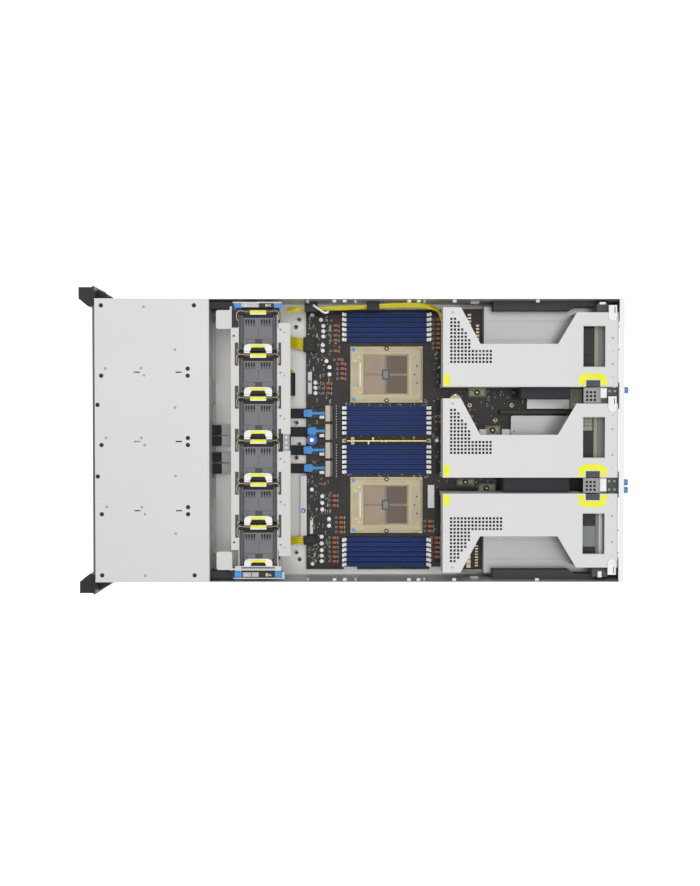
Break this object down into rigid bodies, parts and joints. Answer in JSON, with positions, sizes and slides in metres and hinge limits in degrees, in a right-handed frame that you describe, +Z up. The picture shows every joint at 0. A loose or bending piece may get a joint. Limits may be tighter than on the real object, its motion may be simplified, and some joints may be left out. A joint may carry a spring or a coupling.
{
  "type": "rack server",
  "caption": "Two-unit rack server with its lid off: drive bay, hot-swap fans, memory and processor sockets, perforated card risers and corner power supplies in a steel tray.",
  "frame": {"origin": "centre of the overall box, on the plane of the underside", "axes": "+X towards the rear panel, +Y towards the left-hand rack ear as seen from the front, +Z up"},
  "size_m": [0.8654, 0.4826, 0.088],
  "materials": {
    "zinc_steel": "galvanised sheet, satin",
    "pale_steel": "pale grey painted sheet, matte",
    "dark_steel": "black painted sheet, matte",
    "ear_black": "fine textured moulding",
    "black_plastic": "moulded, satin",
    "rotor_black": "moulded, satin",
    "circuit_board": "solder-masked board",
    "blue_plastic": "moulded, satin",
    "white_plastic": "moulded, satin",
    "yellow_plastic": "moulded, satin",
    "beige_plastic": "moulded, satin",
    "socket_metal": "stamped and passivated",
    "bright_metal": "plated, satin",
    "gold_contacts": "gold plated",
    "component_mix": "small board components",
    "cable_black": "ribbon jacket",
    "cable_yellow": "wire insulation",
    "foam_black": "closed-cell foam",
    "label_white": "bare paper label"
  },
  "bodies": {
    "chassis": {"chassis_tray": "zinc_steel", "rear_panel": "zinc_steel", "drive_bay_cover": "pale_steel", "front_grille": "dark_steel", "drive_cage": "dark_steel", "drive_backplane": "circuit_board", "rack_ear_left": "ear_black", "rack_ear_right": "ear_black", "motherboard": "circuit_board", "cpu_sockets": "beige_plastic", "dimm_slots": "blue_plastic", "power_card": "gold_contacts", "board_parts": "component_mix", "signal_cables": "cable_black", "power_cables": "cable_yellow", "air_baffles": "foam_black"},
    "power_button": {"power_button": "black_plastic"},
    "drive_tray_1": {"drive_tray_1": "bright_metal"},
    "drive_lever_1": {"drive_lever_1": "black_plastic"},
    "drive_tray_2": {"drive_tray_2": "bright_metal"},
    "drive_lever_2": {"drive_lever_2": "black_plastic"},
    "drive_tray_3": {"drive_tray_3": "bright_metal"},
    "drive_lever_3": {"drive_lever_3": "black_plastic"},
    "drive_tray_4": {"drive_tray_4": "bright_metal"},
    "drive_lever_4": {"drive_lever_4": "black_plastic"},
    "drive_tray_5": {"drive_tray_5": "bright_metal"},
    "drive_lever_5": {"drive_lever_5": "black_plastic"},
    "drive_tray_6": {"drive_tray_6": "bright_metal"},
    "drive_lever_6": {"drive_lever_6": "black_plastic"},
    "drive_tray_7": {"drive_tray_7": "bright_metal"},
    "drive_lever_7": {"drive_lever_7": "black_plastic"},
    "drive_tray_8": {"drive_tray_8": "bright_metal"},
    "drive_lever_8": {"drive_lever_8": "black_plastic"},
    "fan_cage": {"fan_cage": "zinc_steel"},
    "fan_module_1": {"fan_module_1": "black_plastic"},
    "fan_rotor_1": {"fan_rotor_1": "rotor_black"},
    "fan_module_2": {"fan_module_2": "black_plastic"},
    "fan_rotor_2": {"fan_rotor_2": "rotor_black"},
    "fan_module_3": {"fan_module_3": "black_plastic"},
    "fan_rotor_3": {"fan_rotor_3": "rotor_black"},
    "fan_module_4": {"fan_module_4": "black_plastic"},
    "fan_rotor_4": {"fan_rotor_4": "rotor_black"},
    "fan_module_5": {"fan_module_5": "black_plastic"},
    "fan_rotor_5": {"fan_rotor_5": "rotor_black"},
    "fan_module_6": {"fan_module_6": "black_plastic"},
    "fan_rotor_6": {"fan_rotor_6": "rotor_black"},
    "socket_frame_1": {"socket_frame_1": "socket_metal"},
    "socket_frame_2": {"socket_frame_2": "socket_metal"},
    "dimm_latches_front": {"dimm_latches_front": "white_plastic"},
    "dimm_latches_rear": {"dimm_latches_rear": "white_plastic"},
    "riser_cage_left": {"riser_cage_left": "pale_steel"},
    "slot_lever_left": {"slot_lever_left": "white_plastic"},
    "riser_cage_middle": {"riser_cage_middle": "pale_steel"},
    "slot_lever_middle": {"slot_lever_middle": "white_plastic"},
    "riser_cage_right": {"riser_cage_right": "pale_steel"},
    "slot_lever_right": {"slot_lever_right": "white_plastic"},
    "power_supply_1": {"power_supply_1": "bright_metal"},
    "supply_latch_1": {"supply_latch_1": "yellow_plastic"},
    "power_supply_2": {"power_supply_2": "bright_metal"},
    "supply_latch_2": {"supply_latch_2": "yellow_plastic"}
  },
  "joints": [
    {"name": "power_button_press", "type": "slide", "parent": "chassis", "child": "power_button", "axis": [1, 0, 0], "range_m": [0, 0.0015], "stiffness_N_per_m": 300},
    {"name": "drive_tray_1_slide", "type": "slide", "parent": "chassis", "child": "drive_tray_1", "axis": [-1, 0, 0], "range_m": [0, 0.13]},
    {"name": "drive_lever_1_hinge", "type": "hinge", "parent": "drive_tray_1", "child": "drive_lever_1", "pos_m": [-0.40775, -0.0602, 0.015], "axis": [0, -1, 0], "range_deg": [0, 75]},
    {"name": "drive_tray_2_slide", "type": "slide", "parent": "chassis", "child": "drive_tray_2", "axis": [-1, 0, 0], "range_m": [0, 0.13]},
    {"name": "drive_lever_2_hinge", "type": "hinge", "parent": "drive_tray_2", "child": "drive_lever_2", "pos_m": [-0.40775, -0.043, 0.015], "axis": [0, -1, 0], "range_deg": [0, 75]},
    {"name": "drive_tray_3_slide", "type": "slide", "parent": "chassis", "child": "drive_tray_3", "axis": [-1, 0, 0], "range_m": [0, 0.13]},
    {"name": "drive_lever_3_hinge", "type": "hinge", "parent": "drive_tray_3", "child": "drive_lever_3", "pos_m": [-0.40775, -0.0258, 0.015], "axis": [0, -1, 0], "range_deg": [0, 75]},
    {"name": "drive_tray_4_slide", "type": "slide", "parent": "chassis", "child": "drive_tray_4", "axis": [-1, 0, 0], "range_m": [0, 0.13]},
    {"name": "drive_lever_4_hinge", "type": "hinge", "parent": "drive_tray_4", "child": "drive_lever_4", "pos_m": [-0.40775, -0.0086, 0.015], "axis": [0, -1, 0], "range_deg": [0, 75]},
    {"name": "drive_tray_5_slide", "type": "slide", "parent": "chassis", "child": "drive_tray_5", "axis": [-1, 0, 0], "range_m": [0, 0.13]},
    {"name": "drive_lever_5_hinge", "type": "hinge", "parent": "drive_tray_5", "child": "drive_lever_5", "pos_m": [-0.40775, 0.0086, 0.015], "axis": [0, -1, 0], "range_deg": [0, 75]},
    {"name": "drive_tray_6_slide", "type": "slide", "parent": "chassis", "child": "drive_tray_6", "axis": [-1, 0, 0], "range_m": [0, 0.13]},
    {"name": "drive_lever_6_hinge", "type": "hinge", "parent": "drive_tray_6", "child": "drive_lever_6", "pos_m": [-0.40775, 0.0258, 0.015], "axis": [0, -1, 0], "range_deg": [0, 75]},
    {"name": "drive_tray_7_slide", "type": "slide", "parent": "chassis", "child": "drive_tray_7", "axis": [-1, 0, 0], "range_m": [0, 0.13]},
    {"name": "drive_lever_7_hinge", "type": "hinge", "parent": "drive_tray_7", "child": "drive_lever_7", "pos_m": [-0.40775, 0.043, 0.015], "axis": [0, -1, 0], "range_deg": [0, 75]},
    {"name": "drive_tray_8_slide", "type": "slide", "parent": "chassis", "child": "drive_tray_8", "axis": [-1, 0, 0], "range_m": [0, 0.13]},
    {"name": "drive_lever_8_hinge", "type": "hinge", "parent": "drive_tray_8", "child": "drive_lever_8", "pos_m": [-0.40775, 0.0602, 0.015], "axis": [0, -1, 0], "range_deg": [0, 75]},
    {"name": "fan_cage_lift", "type": "slide", "parent": "chassis", "child": "fan_cage", "axis": [0, 0, 1], "range_m": [0, 0.09]},
    {"name": "fan_module_1_lift", "type": "slide", "parent": "fan_cage", "child": "fan_module_1", "axis": [0, 0, 1], "range_m": [0, 0.08]},
    {"name": "fan_rotor_1_spin", "type": "hinge", "parent": "fan_module_1", "child": "fan_rotor_1", "pos_m": [-0.14065, 0.1743, 0.0405], "axis": [1, 0, 0], "continuous": true},
    {"name": "fan_module_2_lift", "type": "slide", "parent": "fan_cage", "child": "fan_module_2", "axis": [0, 0, 1], "range_m": [0, 0.08]},
    {"name": "fan_rotor_2_spin", "type": "hinge", "parent": "fan_module_2", "child": "fan_rotor_2", "pos_m": [-0.14065, 0.1069, 0.0405], "axis": [1, 0, 0], "continuous": true},
    {"name": "fan_module_3_lift", "type": "slide", "parent": "fan_cage", "child": "fan_module_3", "axis": [0, 0, 1], "range_m": [0, 0.08]},
    {"name": "fan_rotor_3_spin", "type": "hinge", "parent": "fan_module_3", "child": "fan_rotor_3", "pos_m": [-0.14065, 0.0395, 0.0405], "axis": [1, 0, 0], "continuous": true},
    {"name": "fan_module_4_lift", "type": "slide", "parent": "fan_cage", "child": "fan_module_4", "axis": [0, 0, 1], "range_m": [0, 0.08]},
    {"name": "fan_rotor_4_spin", "type": "hinge", "parent": "fan_module_4", "child": "fan_rotor_4", "pos_m": [-0.14065, -0.0279, 0.0405], "axis": [1, 0, 0], "continuous": true},
    {"name": "fan_module_5_lift", "type": "slide", "parent": "fan_cage", "child": "fan_module_5", "axis": [0, 0, 1], "range_m": [0, 0.08]},
    {"name": "fan_rotor_5_spin", "type": "hinge", "parent": "fan_module_5", "child": "fan_rotor_5", "pos_m": [-0.14065, -0.0953, 0.0405], "axis": [1, 0, 0], "continuous": true},
    {"name": "fan_module_6_lift", "type": "slide", "parent": "fan_cage", "child": "fan_module_6", "axis": [0, 0, 1], "range_m": [0, 0.08]},
    {"name": "fan_rotor_6_spin", "type": "hinge", "parent": "fan_module_6", "child": "fan_rotor_6", "pos_m": [-0.14065, -0.1627, 0.0405], "axis": [1, 0, 0], "continuous": true},
    {"name": "socket_frame_1_hinge", "type": "hinge", "parent": "chassis", "child": "socket_frame_1", "pos_m": [0.10835, 0.1063, 0.016], "axis": [0, 1, 0], "range_deg": [0, 95]},
    {"name": "socket_frame_2_hinge", "type": "hinge", "parent": "chassis", "child": "socket_frame_2", "pos_m": [0.10835, -0.1063, 0.016], "axis": [0, 1, 0], "range_deg": [0, 95]},
    {"name": "front_latch_pivot", "type": "hinge", "parent": "chassis", "child": "dimm_latches_front", "pos_m": [-0.01515, 0, 0.0135], "axis": [0, -1, 0], "range_deg": [0, 28]},
    {"name": "rear_latch_pivot", "type": "hinge", "parent": "chassis", "child": "dimm_latches_rear", "pos_m": [0.12205, 0, 0.0135], "axis": [0, 1, 0], "range_deg": [0, 28]},
    {"name": "riser_cage_left_lift", "type": "slide", "parent": "chassis", "child": "riser_cage_left", "axis": [0, 0, 1], "range_m": [0, 0.08]},
    {"name": "slot_lever_left_pivot", "type": "hinge", "parent": "riser_cage_left", "child": "slot_lever_left", "pos_m": [0.40595, 0.1932, 0.0852], "axis": [0, 0, 1], "range_deg": [0, 75]},
    {"name": "riser_cage_middle_lift", "type": "slide", "parent": "chassis", "child": "riser_cage_middle", "axis": [0, 0, 1], "range_m": [0, 0.08]},
    {"name": "slot_lever_middle_pivot", "type": "hinge", "parent": "riser_cage_middle", "child": "slot_lever_middle", "pos_m": [0.40595, 0.0509, 0.0852], "axis": [0, 0, 1], "range_deg": [0, 75]},
    {"name": "riser_cage_right_lift", "type": "slide", "parent": "chassis", "child": "riser_cage_right", "axis": [0, 0, 1], "range_m": [0, 0.08]},
    {"name": "slot_lever_right_pivot", "type": "hinge", "parent": "riser_cage_right", "child": "slot_lever_right", "pos_m": [0.40595, -0.1919, 0.0852], "axis": [0, 0, -1], "range_deg": [0, 75]},
    {"name": "power_supply_1_slide", "type": "slide", "parent": "chassis", "child": "power_supply_1", "axis": [1, 0, 0], "range_m": [0, 0.2]},
    {"name": "supply_latch_1_press", "type": "slide", "parent": "power_supply_1", "child": "supply_latch_1", "axis": [0, -1, 0], "range_m": [0, 0.003], "stiffness_N_per_m": 300},
    {"name": "power_supply_2_slide", "type": "slide", "parent": "chassis", "child": "power_supply_2", "axis": [1, 0, 0], "range_m": [0, 0.2]},
    {"name": "supply_latch_2_press", "type": "slide", "parent": "power_supply_2", "child": "supply_latch_2", "axis": [0, 1, 0], "range_m": [0, 0.003], "stiffness_N_per_m": 300}
  ]
}
